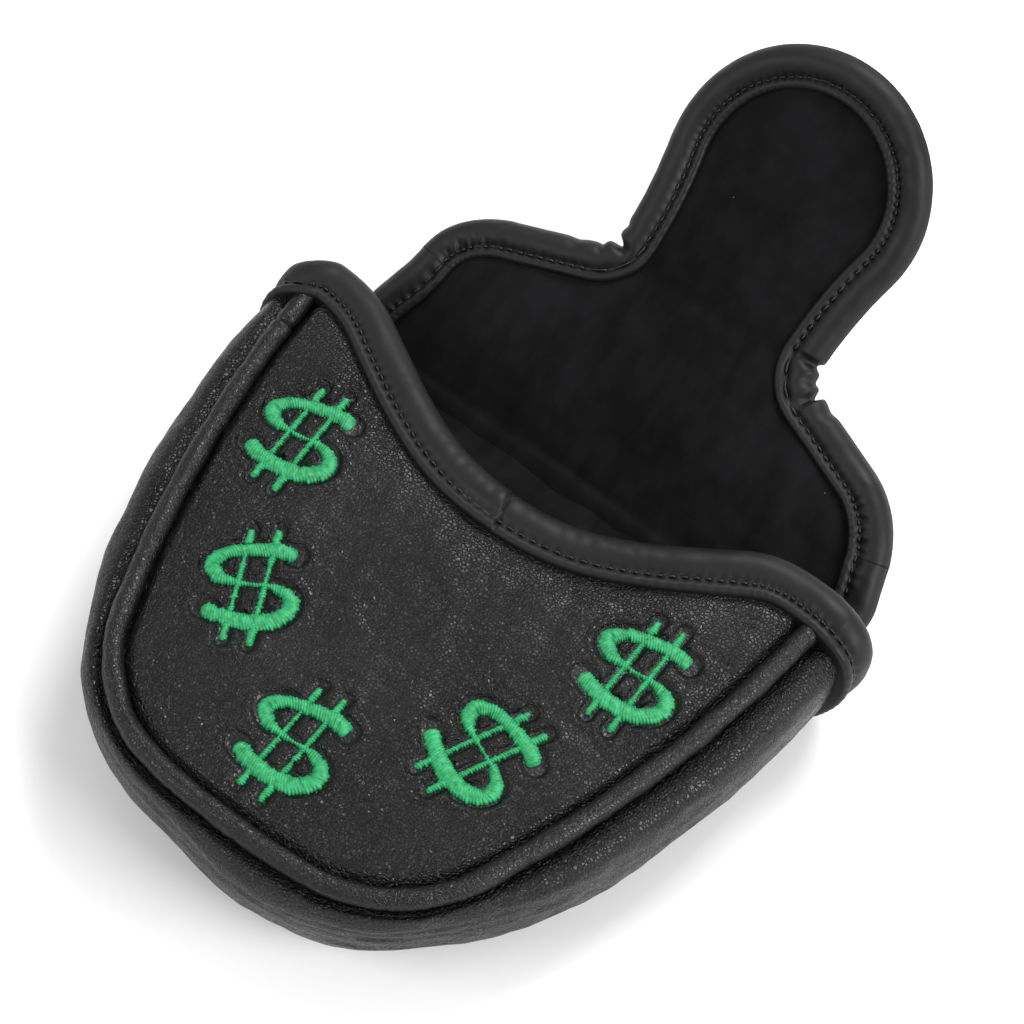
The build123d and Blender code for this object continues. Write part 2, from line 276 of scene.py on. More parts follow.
def joined(name, parts):
    """One object from several (vertices, faces) parts."""
    vertices, faces, start = [], [], 0
    for v, f in parts:
        vertices.append(v.reshape(-1, 3))
        faces.extend([[int(i) + start for i in face] for face in f])
        start += len(vertices[-1])
    return make_object(name, np.vstack(vertices), faces)


def turned_out(item):
    """Makes a closed mesh's faces all point outwards."""
    work = bmesh.new()
    work.from_mesh(item.data)
    bmesh.ops.recalc_face_normals(work, faces=work.faces)
    work.to_mesh(item.data)
    work.free()
    item.data.set_sharp_from_angle(angle=math.radians(55))
    return item


# ----------------------------------------------------------------- pouch outlines
seam_half = turtle((0, SEAM_NOSE_Y), 0, SEAM_ARCS)
seam = resample(both_halves(seam_half), 1400)
mouth_right = turtle(
    (0, MOUTH_DIP_Y), 0, ((65.0, 32.0), (13.0, None), (34.0, -39.0), (18.0, None), (60.0, 7.0), (40.0, None))
)
mouth_left = turtle(
    (0, MOUTH_DIP_Y), 0, ((65.0, 32.0), (13.0, None), (34.0, -50.0), (10.0, None), (40.0, 14.0), (40.0, None))
)
mouth_right[:, 1] += 1.4 * np.exp(-(((mouth_right[:, 0] - 31) / 13) ** 2))
mouth_right[:, 1] += 1.3 * np.exp(-(((mouth_right[:, 0] - 50) / 12) ** 2))
mouth_left[:, 1] += 0.9 * np.exp(-(((mouth_left[:, 0] - 29) / 13) ** 2))
mouth_left[:, 1] -= 2.0 * smooth_step(63, 72, mouth_left[:, 0])
mouth = np.vstack([(mouth_left * (-1, 1))[::-1][:-1], mouth_right])
mouth = resample(mouth[np.abs(mouth[:, 0]) < 68], 900)


def stroke_line(count):
    """The S of a sign in its own frame, as x, y and half width."""
    points = [
        (7.6, 7.9, 1.61),
        (4.0, 8.4, 1.67),
        (-1.6, 7.6, 1.37),
        (-6.4, 6.0, 1.25),
        (-8.8, 3.1, 1.64),
        (-6.9, 0.6, 1.42),
        (-3.2, 0.0, 0.70),
        (0.6, 0.1, 0.32),
        (4.6, 0.2, 0.86),
        (8.1, -1.2, 1.54),
        (8.8, -4.2, 1.72),
        (5.6, -7.3, 1.84),
        (0.4, -8.4, 1.86),
        (-4.6, -8.0, 1.74),
        (-8.4, -6.9, 1.54),
    ]
    return spline(points, count)


# Upright bars of a sign, as place across, top, bottom and half width; each is thinner inside the S
BARS = tuple(
    ((x + 0.1, top), (x, bottom), width)
    for x, top, bottom, width in (
        (-2.75, 12.2, 8.4, 0.75), (-2.75, 6.6, -7.2, 0.5), (-2.75, -9.4, -13.4, 0.75),
        (2.75, 13.1, 8.9, 0.75), (2.75, 7.6, -6.9, 0.5), (2.75, -9.2, -13.6, 0.75),
    )
)


def sign_place(points, sign):
    """Points of the sign's frame moved to its place on the front face."""
    x, y, turn = sign
    a = math.radians(turn)
    return np.stack(
        [
            x + points[..., 0] * math.cos(a) - points[..., 1] * math.sin(a),
            y + points[..., 0] * math.sin(a) + points[..., 1] * math.cos(a),
        ],
        -1,
    )


sign_marks = []
for sign in SIGNS:
    stroke = stroke_line(90)
    sign_marks.append(np.c_[sign_place(stroke[:, :2], sign), stroke[:, 2]])
    for top, bottom, width in BARS:
        bar = np.linspace(top, bottom, 14)
        sign_marks.append(np.c_[sign_place(bar, sign), np.full(len(bar), width)])
sign_marks = np.vstack(sign_marks)


def mouth_lift(xy):
    """How far the right of the open mouth stands up, by place on the flat face."""
    to_edge = np.interp(xy[..., 0], mouth[:, 0], mouth[:, 1]) - xy[..., 1]
    return 2.0 * np.exp(-(((xy[..., 0] - 45) / 15) ** 2)) * (1 - smooth_step(1, 20, to_edge))


def face_height(xy):
    """Height of the front leather over the table."""
    to_seam, _ = nearest(xy, seam)
    to_mark, mark = nearest(xy, sign_marks[:, :2])
    to_mark = to_mark - sign_marks[mark, 2]
    to_mouth, _ = nearest(xy, mouth)
    free = smooth_step(10.2, 21, to_mouth)
    z = FACE_Z - 0.25 + 1.0 * smooth_step(2, 26, to_seam) * free + mouth_lift(xy) * smooth_step(0, 6, to_seam)
    z = z - 2.8 * (1 - smooth_step(1.5, 4.6, to_seam))
    z = z + (0.24 * ripple(xy, 26, 3) + 0.07 * ripple(xy, 7, 4)) * free
    z = z - 0.35 * np.exp(-(((to_mouth - BAND_WIDTH - 0.3) / 1.2) ** 2))
    halo = 1 - smooth_step(0.5, 1.5, to_mark)
    z = z - RECESS * halo + 0.2 * np.exp(-(((to_mark - 2.0) / 0.7) ** 2))
    pucker = np.exp(-(((to_mark - 2.1) / 1.2) ** 2))
    z = z + 0.09 * pucker * ripple(xy, 1.5, 5)
    ring = np.linalg.norm(xy - ROUND_MARK, axis=-1)
    z = z - 0.16 * (1 - smooth_step(8.0, 10.0, ring)) + 0.1 * np.exp(-(((ring - 10.6) / 1.6) ** 2))
    return z


# ----------------------------------------------------------------- front panel
def fan(first, last, count, ease=1.0):
    """A grid of flat points from one line to another with as many points."""
    t = (np.linspace(0, 1, count) ** ease)[None, :, None]
    return first[:, None] * (1 - t) + last[:, None] * t


FAN_ROWS = 380
FAN_COLUMNS = 210
mouth_normal = side_normals(mouth)
mouth_in = mouth - mouth_normal * 2.2
seam_normal = side_normals(seam)
seam_in = seam + seam_normal * 1.9
keep_mouth = np.abs(mouth_in[:, 0]) < 63.5
keep_seam = seam_in[:, 1] < np.where(seam_in[:, 0] < 0, 53.6, 57.5)
front_flat = fan(
    resample(mouth_in[keep_mouth], FAN_ROWS), resample(seam_in[keep_seam], FAN_ROWS), FAN_COLUMNS
)
front_top = np.dstack([front_flat, face_height(front_flat)])
front_out = grid_normals(front_top)
if front_out[..., 2].mean() < 0:
    front_flat = front_flat[::-1]
    front_top = front_top[::-1]
    front_out = grid_normals(front_top)


soft_top = front_top[::3, ::3]
soft_out = np.tile(np.array([0, 0, 1.0]), soft_top.shape[:2] + (1,))
front_skin = slab("front_panel_skin", front_top, sunk(front_top, front_out, LEATHER - 0.2))
front_pad = slab("front_panel_pad", sunk(soft_top, soft_out, 1.3), sunk(soft_top, soft_out, FOAM_LOW))
front_lining = slab("front_panel_velvet", sunk(soft_top, soft_out, FOAM_LOW + 0.1), sunk(soft_top, soft_out, SANDWICH))


# ----------------------------------------------------------------- gusset
# How far the gusset stands out from the seam, by distance along the seam from the nose, left to right
BULGES = (
    (-150, 6.6), (-118, 9.8), (-76, 10.2), (-46, 6.9), (-24, 5.3),
    (9, 7.4), (40, 4.7), (76, 9.6), (118, 9.9), (150, 8.8),
)
# Section of the gusset from the front seam to the back seam: outward place, its share of the bulge, height,
# and its share of the back seam's shift
GUSSET_SECTION = (
    (0.2, 0.0, 29.0, 0.0), (2.3, 0.0, 30.3, 0.0), (1.9, 0.42, 31.2, 0.0), (0.7, 0.86, 28.4, 0.0),
    (0.0, 1.0, 22.8, 0.03), (0.0, 0.97, 16.6, 0.15), (0.0, 0.80, 10.6, 0.45), (0.0, 0.52, 6.2, 0.8),
    (0.0, 0.22, 3.9, 0.95), (-0.6, 0.0, 3.0, 1.0),
)


def eased(table, value):
    """Interpolation with level ends between the rows of a short table."""
    table = np.array(table, float)
    k = np.clip(np.searchsorted(table[:, 0], value) - 1, 0, len(table) - 2)
    share = smooth_step(table[k, 0], table[k + 1, 0], value)
    return table[k, 1] * (1 - share) + table[k + 1, 1] * share


def back_inset(run):
    """How far the back seam lies inside the front seam, by distance from the nose."""
    return 3.6 * np.exp(-(((run - 40) / 15) ** 2)) + 1.8 * np.exp(-(((run + 25) / 14) ** 2))


def back_lift(run):
    """How far the back seam is pulled up off the table, by distance from the nose."""
    return 3.6 * np.exp(-((run / 64) ** 4))


GUSSET_ROWS = 560
GUSSET_COLUMNS = 64
gusset_end = np.where(seam[:, 0] < 0, MOUTH_EDGE_Y - 2.2, MOUTH_EDGE_Y + 0.4)
gusset_line = resample(seam[seam[:, 1] < gusset_end], GUSSET_ROWS)
gusset_side = -side_normals(gusset_line)
section_t = np.linspace(0, 1, GUSSET_COLUMNS)
section_points = curve_at(GUSSET_SECTION, section_t)
nose_at = lengths(gusset_line)[np.abs(gusset_line[:, 0]).argmin()]
from_nose = (lengths(gusset_line) - nose_at)[:, None]
shift = section_points[None, :, 3]
out = section_points[None, :, 0] + eased(BULGES, from_nose) * section_points[None, :, 1]
out = out - back_inset(from_nose) * shift
up = section_points[None, :, 2] + back_lift(from_nose) * shift
run = lengths(gusset_line)[:, None] + 0 * out
fold_field = np.stack([run, up * 2.6], -1)
slack = smooth_step(0.02, 0.16, section_t) * smooth_step(0.02, 0.16, 1 - section_t)
nose_share = 1 - smooth_step(-46, -10, gusset_line[:, 1])[:, None]
ease = slack[None] * (0.2 * ripple(fold_field, 30, 11) + 0.1 * ripple(fold_field, 9, 12))
crease = np.exp(-(((up - 27.2 - 0.8 * ripple(fold_field, 40, 13)) / 0.9) ** 2))
crease2 = np.exp(-(((up - 23.6 - 1.0 * ripple(fold_field, 36, 14)) / 0.8) ** 2))
ease = ease - nose_share * (0.35 * crease + 0.2 * crease2)
out = out + ease


def gusset_grid(depth):
    """The gusset's surface, moved in by depth."""
    reach = out - depth
    height = GUSSET_MIDDLE_Z + (up - GUSSET_MIDDLE_Z) * (1 - 0.036 * depth)
    return np.dstack([gusset_line[:, None] + gusset_side[:, None] * reach[..., None], height])


gusset_skin = slab("gusset_skin", gusset_grid(0), gusset_grid(LEATHER))
gusset_pad = slab("gusset_pad", gusset_grid(LEATHER + 0.2)[::3, 14::2], gusset_grid(FOAM_LOW)[::3, 14::2])
gusset_lining = slab("gusset_velvet", gusset_grid(FOAM_LOW + 0.1)[::3, 12::2], gusset_grid(SANDWICH)[::3, 12::2])


# ----------------------------------------------------------------- back panel
seam_nose_at = lengths(seam)[len(seam) // 2]
seam_run = lengths(seam) - seam_nose_at
back_seam = seam + seam_normal * back_inset(seam_run)[:, None]
back_lift_at = back_lift(seam_run)
on_back = seam[:, 1] < BACK_EDGE_Y - 1.0
back_line = resample((back_seam + seam_normal * 1.9)[on_back], 300)
back_edge = np.stack([np.linspace(back_line[0, 0], back_line[-1, 0], 300), np.full(300, BACK_EDGE_Y)], 1)
back_flat = fan(back_edge, back_line, 120)


def back_height(xy):
    """Height of the back leather: on the table in the middle, turned up at the seam."""
    to_seam, index = nearest(xy, back_seam)
    lift = 1 - smooth_step(1.6, 5.4, to_seam)
    pulled = back_lift_at[index] * (1 - smooth_step(0, 26, to_seam))
    return 0.02 + pulled + 2.4 * lift + 0.35 * (1 - smooth_step(4, 20, to_seam)) + 0.12 * (1 + ripple(xy, 30, 21))


back_bottom = np.dstack([back_flat, back_height(back_flat)])
back_out = grid_normals(back_bottom)
if back_out[..., 2].mean() > 0:
    back_bottom = back_bottom[::-1]
    back_out = grid_normals(back_bottom)
back_skin = slab("back_panel_skin", back_bottom, sunk(back_bottom, back_out, LEATHER))
back_coarse = back_bottom[::2, ::2]
level = np.tile(np.array([0, 0, -1.0]), back_coarse.shape[:2] + (1,))
pad_low = sunk(back_coarse, level, 1.3)
velvet_high = back_coarse.copy()
velvet_high[..., 2] = np.maximum(5.5 + 0.18 * ripple(back_coarse[..., :2], 18, 22), back_coarse[..., 2] + 3.4)
velvet_high[..., 2] -= 1.3 * smooth_step(52.5, 57.0, back_coarse[..., 1])
velvet_low = velvet_high - (0, 0, 1.0)
back_pad = slab("back_panel_pad", pad_low, np.maximum(velvet_low - (0, 0, 0.1), pad_low + (0, 0, 0.3)))
back_lining = slab("back_panel_velvet", velvet_low, velvet_high)


# ----------------------------------------------------------------- piping
def rod(name, line, height, radius, path_count, ring_count, shape=None):
    """A cord or sleeve along the seam line; shape(run, angle) changes its radius."""
    path = resample(line, path_count)
    side = -side_normals(path)
    at = lengths(path)[:, None]
    angle = np.linspace(0, 2 * math.pi, ring_count, endpoint=False)[None]
    r = radius + (shape(at, angle) if shape else 0 * at * angle)
    height = height if np.ndim(height) == 0 else np.interp(at[:, 0], lengths(line), height)[:, None]
    across = r * np.cos(angle)
    rings = np.dstack(
        [
            path[:, None, 0] + side[:, None, 0] * across,
            path[:, None, 1] + side[:, None, 1] * across,
            height + r * np.sin(angle),
        ]
    )
    return tube(name, rings)


def sleeve_shape(at, angle):
    """Leather wound on the cord: small dents and one sharp kink near the left end."""
    field = np.stack([at + 0 * angle, 3 * np.cos(angle) + 0 * at], -1)
    dents = 0.1 * ripple(field, 11, 31) + 0.04 * ripple(field, 3.2, 32)
    kink = -0.75 * np.exp(-(((at - 10.4) / 0.55) ** 2)) + 0.25 * np.exp(-(((at - 11.8) / 0.8) ** 2))
    return dents + kink * (0.6 + 0.4 * np.cos(angle - 2.0))


front_seam = seam[seam[:, 1] < np.where(seam[:, 0] < 0, 52.3, 54.5)]
piping_front = rod("front_piping_sleeve", front_seam, FRONT_PIPING_Z, PIPING_RADIUS, 760, 28, sleeve_shape)
on_back_piping = seam[:, 1] < 56.5
piping_back = rod(
    "back_piping_sleeve", back_seam[on_back_piping], BACK_PIPING_Z + back_lift_at[on_back_piping],
    PIPING_RADIUS, 420, 20,
    lambda at, angle: 0.08 * ripple(np.stack([at + 0 * angle, 3 * np.cos(angle) + 0 * at], -1), 11, 33),
)
front_core = rod("front_piping_core", front_seam[6:-6], FRONT_PIPING_Z, CORD_RADIUS, 420, 14)
back_core_line = on_back_piping & (seam[:, 1] < 55.0)
back_core = rod(
    "back_piping_core", back_seam[back_core_line], BACK_PIPING_Z + back_lift_at[back_core_line], CORD_RADIUS, 420, 14
)


# ----------------------------------------------------------------- binding
def band_section(lower):
    """Cross-section of a binding as (inward, height) points, round a sandwich of that depth."""
    over = [
        (9.3, -0.15), (9.36, 0.35), (9.22, 0.8), (8.85, 1.12), (8.35, 1.22), (7.85, 1.1), (7.45, 0.82),
        (7.15, 0.58), (6.85, 0.52), (6.55, 0.62), (6.2, 0.92), (5.7, 1.25), (5.0, 1.52), (4.2, 1.68), (3.3, 1.66),
        (2.4, 1.42), (1.6, 0.95), (0.9, 0.25), (0.35, -0.7), (0.05, -1.8),
    ]
    under = [(i, -lower - h) for i, h in over[::-1]]
    return np.array(over + [(0.0, -lower / 2)] + under)


def wrapped(profile):
    """A function that wraps flat (along, height) places round a profile line in a plane."""
    at = lengths(profile)
    normal = side_normals(profile)

    def wrap(along, height):
        a = np.stack([np.interp(along, at, profile[:, k]) for k in (0, 1)], -1)
        n = np.stack([np.interp(along, at, normal[:, k]) for k in (0, 1)], -1)
        n /= np.linalg.norm(n, axis=-1)[..., None]
        return a + n * height[..., None]

    return wrap


# The outside of the pouch at the mouth, from the left end of the back seam over the front to the right end
RIGHT_WRAP = (
    (40.0, 34.0), (50.0, 34.0), (58.0, 34.0), (62.0, 34.1), (65.8, 34.3), (70.2, 33.6), (73.7, 31.4), (75.7, 27.6),
    (76.1, 22.6), (75.2, 17.0), (73.3, 11.6), (70.8, 6.8), (67.6, 3.4), (63.8, 1.8),
)
LEFT_WRAP = (
    (40.0, 34.0), (50.0, 34.0), (58.0, 34.0), (62.0, 34.1), (65.4, 34.3), (68.9, 33.2), (71.5, 30.8), (72.8, 27.2),
    (73.0, 22.4), (72.6, 17.0), (71.3, 11.6), (69.4, 6.8), (66.6, 3.4), (63.2, 1.8),
)
right_part = np.array(RIGHT_WRAP)
left_part = np.array(LEFT_WRAP) * (-1, 1)
profile = np.vstack([left_part[::-1], [(0.0, 34.0)], right_part])
profile = spline(profile, 1200)
profile = profile[np.r_[True, np.linalg.norm(np.diff(profile, axis=0), axis=1) > 1e-6]]
wrap_mouth = wrapped(profile)
zero_at = np.interp(0.0, profile[:, 0], lengths(profile))
right_reach = lengths(profile)[-1] - zero_at
band_right = mouth_right[mouth_right[:, 0] < right_reach]
band_left = (mouth_left[mouth_left[:, 0] < zero_at] * (-1, 1))[::-1]
band_path = resample(np.vstack([band_left[:-1], band_right]), 940)
band_in = -side_normals(band_path)
band_at = lengths(band_path)
middle_at = np.interp(0.0, band_path[:, 0], band_at)


def band_rings(path, inward, place, section, change):
    """Sweeps a binding's cross-section along a flat path; place turns flat points and heights into space."""
    a = section[None, :, 0] + np.zeros((len(path), 1))
    h = section[None, :, 1] + np.zeros((len(path), 1))
    a, h = change(lengths(path)[:, None], a, h)
    return place(path[:, None] + inward[:, None] * a[..., None], h)


def place_mouth(flat, h):
    xz = wrap_mouth(flat[..., 0] + zero_at, h)
    z = xz[..., 1] + mouth_lift(flat) * (np.abs(flat[..., 0]) < 70)
    return np.dstack([xz[..., 0], flat[..., 1], np.maximum(z, 0.1)])


def band_change(seed, folds=()):
    """Small unevenness of a folded strip; folds are (place, depth, width, reach) gathers across it."""

    def change(at, a, h):
        field = np.stack([at + 0 * a, a * 0.8], -1)
        top = smooth_step(-3.0, 0.5, h)
        outer = 1 - smooth_step(3.5, 7.0, a)
        wave = np.cos(2 * math.pi * at / STITCH_PITCH)
        groove = np.exp(-(((a - STITCH_INSET) / 0.8) ** 2))
        lip = smooth_step(7.4, 8.4, a)
        h = h + top * (0.10 * ripple(field, 14, seed) + 0.05 * ripple(field, 4.5, seed + 1) * outer)
        h = h + top * (-0.3 * groove * (0.5 + 0.5 * wave) + 0.05 * lip * wave)
        for place, depth, width, reach in folds:
            dent = np.exp(-(((at - place) / width) ** 2))
            across = 1 - smooth_step(reach * 0.4, reach, a)
            h = h - depth * dent * across * top
            a = a + 1.0 * depth * dent * (1 - smooth_step(0, 3.5, a))
        return a, h

    return change


mouth_section = band_section(SANDWICH)
joint_at = np.interp(-0.5, band_path[:, 0], band_at)


def mouth_change(at, a, h):
    a, h = band_change(41)(at, a, h)
    top = smooth_step(-3.0, 0.5, h)
    slanted = at - joint_at - 0.25 * (a - 3)
    a_step = 1 - smooth_step(-0.15, 0.15, slanted)
    near = 1 - smooth_step(0, 14, -slanted)
    h = h + top * 0.6 * a_step * near
    h = h - top * 0.35 * np.exp(-(((slanted - 0.35) / 0.35) ** 2))
    pleat = np.exp(-(((at - middle_at) / 34) ** 2))
    outer = np.exp(-(((a - 2.2) / 2.0) ** 2))
    h = h + 0.07 * top * pleat * outer * ripple(np.stack([at + 0 * a, a * 0.15], -1), 3.1, 44)
    return a * MOUTH_BAND_SCALE, h


mouth_band = tube("mouth_edge_binding", band_rings(band_path, band_in, place_mouth, mouth_section, mouth_change))


# ----------------------------------------------------------------- stitches
def stitch_parts(path, inward, place, low, high, inset, height, seed, back_height=None):
    """Thread bars along a band: sunk at both ends, a little uneven."""
    at = lengths(path)
    rng = np.random.default_rng(seed)
    parts = []
    ring = np.linspace(0, 2 * math.pi, 8, endpoint=False)
    t = np.linspace(-1, 1, 9)
    for start in np.arange(low + 1.0, high - 1.0, STITCH_PITCH):
        offset, turn = rng.normal(0, 0.07), rng.normal(0, 0.03)
        for lift in [height] + ([back_height] if back_height is not None else []):
            along = start + t * 0.92
            centre = np.stack([np.interp(along, at, path[:, k]) for k in (0, 1)], -1)
            side = np.stack([np.interp(along, at, inward[:, k]) for k in (0, 1)], -1)
            thick = 0.3 * np.sqrt(np.clip(1.06 - t**2, 0.03, 1))
            sink = -0.34 * np.abs(t) ** 3 * np.sign(lift + 1)
            a = (inset + offset + turn * t)[:, None] + np.cos(ring)[None] * thick[:, None]
            h = lift + sink[:, None] + np.sin(ring)[None] * thick[:, None]
            flat = centre[:, None] + side[:, None] * a[..., None]
            parts.append(closed_rings(place(flat, h)))
    return parts


mouth_stitches = joined(
    "mouth_edge_stitching",
    stitch_parts(
        band_path, band_in, place_mouth, 6.0, band_at[-1] - 6.0, STITCH_INSET * MOUTH_BAND_SCALE,
        STITCH_RISE, 51, -SANDWICH - STITCH_RISE,
    ),
)

# ----------------------------------------------------------------- embroidery
def satin(line, sign, slant, wobble_seed):
    """A raised satin stroke: a ribbon with thread ridges; line is x, y, half width."""
    at = lengths(line[:, :2])
    count = int(at[-1] / THREAD_PITCH * 6)
    path = resample(np.c_[line[:, :2], line[:, 2] * 3.0], count)
    path[:, 2] /= 3.0
    side = side_normals(path[:, :2])
    at = lengths(path[:, :2])
    across = np.array([-1.0, -0.985, -0.93, -0.8, -0.6, -0.35, 0.0, 0.35, 0.6, 0.8, 0.93, 0.985, 1.0])
    thread = at[:, None] + slant * across[None] * path[:, 2:3]
    cell = np.floor(thread / THREAD_PITCH)
    ridge = np.abs(np.sin(math.pi * thread / THREAD_PITCH)) ** 0.7
    rng = np.random.default_rng(wobble_seed)
    jitter = rng.normal(0, 1, 4096)
    index = cell.astype(int) % 2048
    ends = smooth_step(0, 0.7, at) * smooth_step(0, 0.7, at[-1] - at)
    reach = path[:, 2:3] * (0.55 + 0.45 * ends[:, None])
    reach = reach + (0.13 * jitter[index] + 0.32 * (ridge - 0.6)) * np.abs(across)[None]
    height = np.clip(0.3 + 0.5 * path[:, 2:3], 0.25, 0.9) * np.sqrt(np.clip(1 - across[None] ** 2, 0, 1)) ** 0.8
    height = height * (0.35 + 0.65 * ends[:, None])
    height = height + (0.36 * ridge + 0.05 * jitter[index + 2048]) * (1 - across[None] ** 4)
    flat = path[:, None, :2] + side[:, None] * (across[None] * reach)[..., None]
    placed = sign_place(flat, sign)
    centre = sign_place(path[:, :2], sign)
    base = face_height(centre)[:, None] - 0.12
    top = np.dstack([placed, base + height])
    bottom = np.dstack([placed, np.broadcast_to(base - 0.35, height.shape)])
    return closed_rings(np.concatenate([top, bottom[:, ::-1][:, 1:-1]], 1))


embroidery = []
for number, sign in enumerate(SIGNS, 1):
    parts = []
    for k, (top, bottom, width) in enumerate(BARS):
        line = np.c_[np.linspace(top, bottom, 30), np.full(30, width)]
        parts.append(satin(line, sign, 0.5, 100 * number + k))
    parts.append(satin(stroke_line(500), sign, 0.35, 100 * number + 50))
    embroidery.append(turned_out(joined(f"dollar_thread_{number}", parts)))

# ----------------------------------------------------------------- flap surface
flap_d = np.arange(-20.0, 130.0, 0.25)
slope = np.zeros_like(flap_d)
for start, angle in FLAP_SLOPES:
    slope[flap_d >= start] = angle
core = np.ones(41) / 41
soft = np.convolve(np.r_[np.full(20, slope[0]), slope, np.full(20, slope[-1])], core, "valid")
fold = np.ones(13) / 13
crisp = np.convolve(np.r_[np.full(6, slope[0]), slope, np.full(6, slope[-1])], fold, "valid")
slope = np.where(flap_d < 9, crisp, soft)
slope_rad = np.radians(slope)
flap_y = FOLD_Y + np.r_[0, np.cumsum(0.25 * np.cos(slope_rad[:-1]))]
flap_z = FOLD_Z + np.r_[0, np.cumsum(0.25 * np.sin(slope_rad[:-1]))]
flap_y -= np.interp(0, flap_d, flap_y) - FOLD_Y
flap_z -= np.interp(0, flap_d, flap_z) - FOLD_Z
yaw = math.radians(FLAP_YAW)


def place_flap(flat, h):
    """Flat flap places (across, along) and heights over its middle, in space."""
    across, along = flat[..., 0], flat[..., 1]
    x = across * math.cos(yaw) + along * math.sin(yaw) * (along > 0) + FLAP_SHIFT * smooth_step(-6, 14, along)
    d = -across * math.sin(yaw) * smooth_step(0, 30, along) + along
    s = np.interp(d, flap_d, slope_rad)
    y = np.interp(d, flap_d, flap_y) - np.sin(s) * h
    z = np.interp(d, flap_d, flap_z) + np.cos(s) * h
    return np.stack([x, y, np.maximum(z, 0.1 + 0.05 * (z + 0.5))], -1)


flap_half = turtle(
    (0, FLAP_LENGTH), 0,
    ((30.4, -102.9), (96.7, 13.2), (NOTCH_RADIUS, 69.4), (SHOULDER_RUN, None), (25.3, -63.5)),
    step=0.2,
)
root = np.array([[ROOT_HALF_WIDTH, 2.0], [ROOT_HALF_WIDTH, FLAP_ROOT]])
tail = spline(np.vstack([flap_half[-30], flap_half[-1], (ROOT_HALF_WIDTH - 0.3, 9.0), root]), 120)
flap_half = np.vstack([flap_half[:-30], tail])
flap_path = resample(both_halves(flap_half), 1500)
on_left = flap_path[:, 0] < 0
left_swell = -1.5 * np.exp(-(((flap_path[:, 1] - 20) / 7) ** 2))
right_swell = 0.8 * np.exp(-(((flap_path[:, 1] - 11) / 7) ** 2))
flap_path = flap_path + side_normals(flap_path) * np.where(on_left, left_swell, right_swell)[:, None]
flap_in = -side_normals(flap_path)
flap_at = lengths(flap_path)
tip_at = flap_at[-1] / 2


def flap_bound(inset):
    """Half width of the flap at each distance, moved in by inset, to the left and to the right."""
    line = flap_path + flap_in * inset
    left = line[: len(line) // 2]
    right = line[len(line) // 2 :][::-1]
    return left, right


def flap_sheet(low_d, high_d, rows, columns, inset):
    """A grid over the flap between two distances, inside its outline."""
    left, right = flap_bound(inset)
    d = np.linspace(low_d, high_d, rows)
    tip = min(left[:, 1].max(), right[:, 1].max()) - 0.02
    d = np.minimum(d, tip)
    if high_d > tip:
        u = np.linspace(0, 1, rows)
        d = low_d + (tip - low_d) * (1 - (1 - u) ** 1.6)
    x_left = np.interp(d, left[:, 1], left[:, 0])
    x_right = np.interp(d, right[:, 1], right[:, 0])
    t = np.linspace(0, 1, columns)[None]
    x = x_left[:, None] * (1 - t) + x_right[:, None] * t
    return np.dstack([x, d[:, None] + 0 * t])


def velvet_height(flat):
    """Height of the flap's velvet over the middle of the flap."""
    gap, _ = nearest(flat, flap_path)
    rise = 1.75 + 0.75 * smooth_step(8, 24, gap) - 0.5 * (1 - smooth_step(7.5, 10.5, gap))
    rise = rise - 2.3 * (1 - smooth_step(-8, -2.0, flat[..., 1]))
    rise = rise + 0.3 * ripple(flat, 24, 61) + 0.1 * ripple(flat, 9, 62)
    line = np.abs(flat[..., 1] - 46 - 0.06 * flat[..., 0])
    rise = rise - 0.5 * np.exp(-((line / 2.4) ** 2))
    return rise


def flap_pieces(prefix, low_d, high_d, rows, columns):
    """Back leather, pad and velvet of one part of the flap, as closed solids."""
    flat = flap_sheet(low_d, high_d, rows, columns, 7.0)
    high = velvet_height(flat)
    low = -2.5 + 0.25 * ripple(flat, 26, 63)
    top = place_flap(flat, high)
    if grid_normals(top)[..., 2].mean() < 0:
        flat, high, low = flat[::-1], high[::-1], low[::-1]
    velvet = slab(f"{prefix}_velvet", place_flap(flat, high), place_flap(flat, high - 0.9))
    coarse = flat[::2, ::2]
    ch, cl = high[::2, ::2], low[::2, ::2]
    pad = slab(f"{prefix}_pad", place_flap(coarse, ch - 1.0), place_flap(coarse, cl + 1.1))
    skin = slab(f"{prefix}_skin", place_flap(flat, low + 1.0), place_flap(flat, low))
    return velvet, pad, skin


base_velvet, base_pad, base_skin = flap_pieces("flap_base", FLAP_ROOT, FLAP_SPLIT, 90, 240)
tongue_velvet, tongue_pad, tongue_skin = flap_pieces("flap_tongue", FLAP_SPLIT, 200, 260, 200)

FLAP_SECTION_DEPTH = 3.6
BAND_OVERLAP = 0.7
flap_section = band_section(FLAP_SECTION_DEPTH) + (0, FLAP_SECTION_DEPTH / 2)

# Gathers of the flap binding, as places along the flap's outline from the tip
notch_from_tip = lengths(turtle((0, 0), 0, ((30.1, -102.9), (96.7, 13.2), (NOTCH_RADIUS, 34.7))))[-1]
shoulder_from_tip = notch_from_tip + NOTCH_RADIUS * math.radians(34.7) + SHOULDER_RUN


def gathers(side):
    """Folds of the binding on one side, side -1 left or 1 right."""
    rows = [
        (notch_from_tip - 0.6, 2.0, 0.8, 6.5),
        (notch_from_tip + 2.6, 0.4, 0.7, 5.0),
        (notch_from_tip - 4.2, 0.35, 1.0, 4.5),
        (notch_from_tip + 8.0, 0.3, 1.6, 5.0),
    ]
    if side > 0:
        rows = [
            (notch_from_tip - 2.6, 1.6, 0.8, 6.5),
            (notch_from_tip + 3.0, 1.9, 0.7, 7.0),
            (notch_from_tip + 0.4, 0.7, 0.9, 5.0),
            (notch_from_tip + 7.5, 0.5, 1.6, 5.0),
        ]
    return [(tip_at + side * s, depth, width, reach) for s, depth, width, reach in rows]


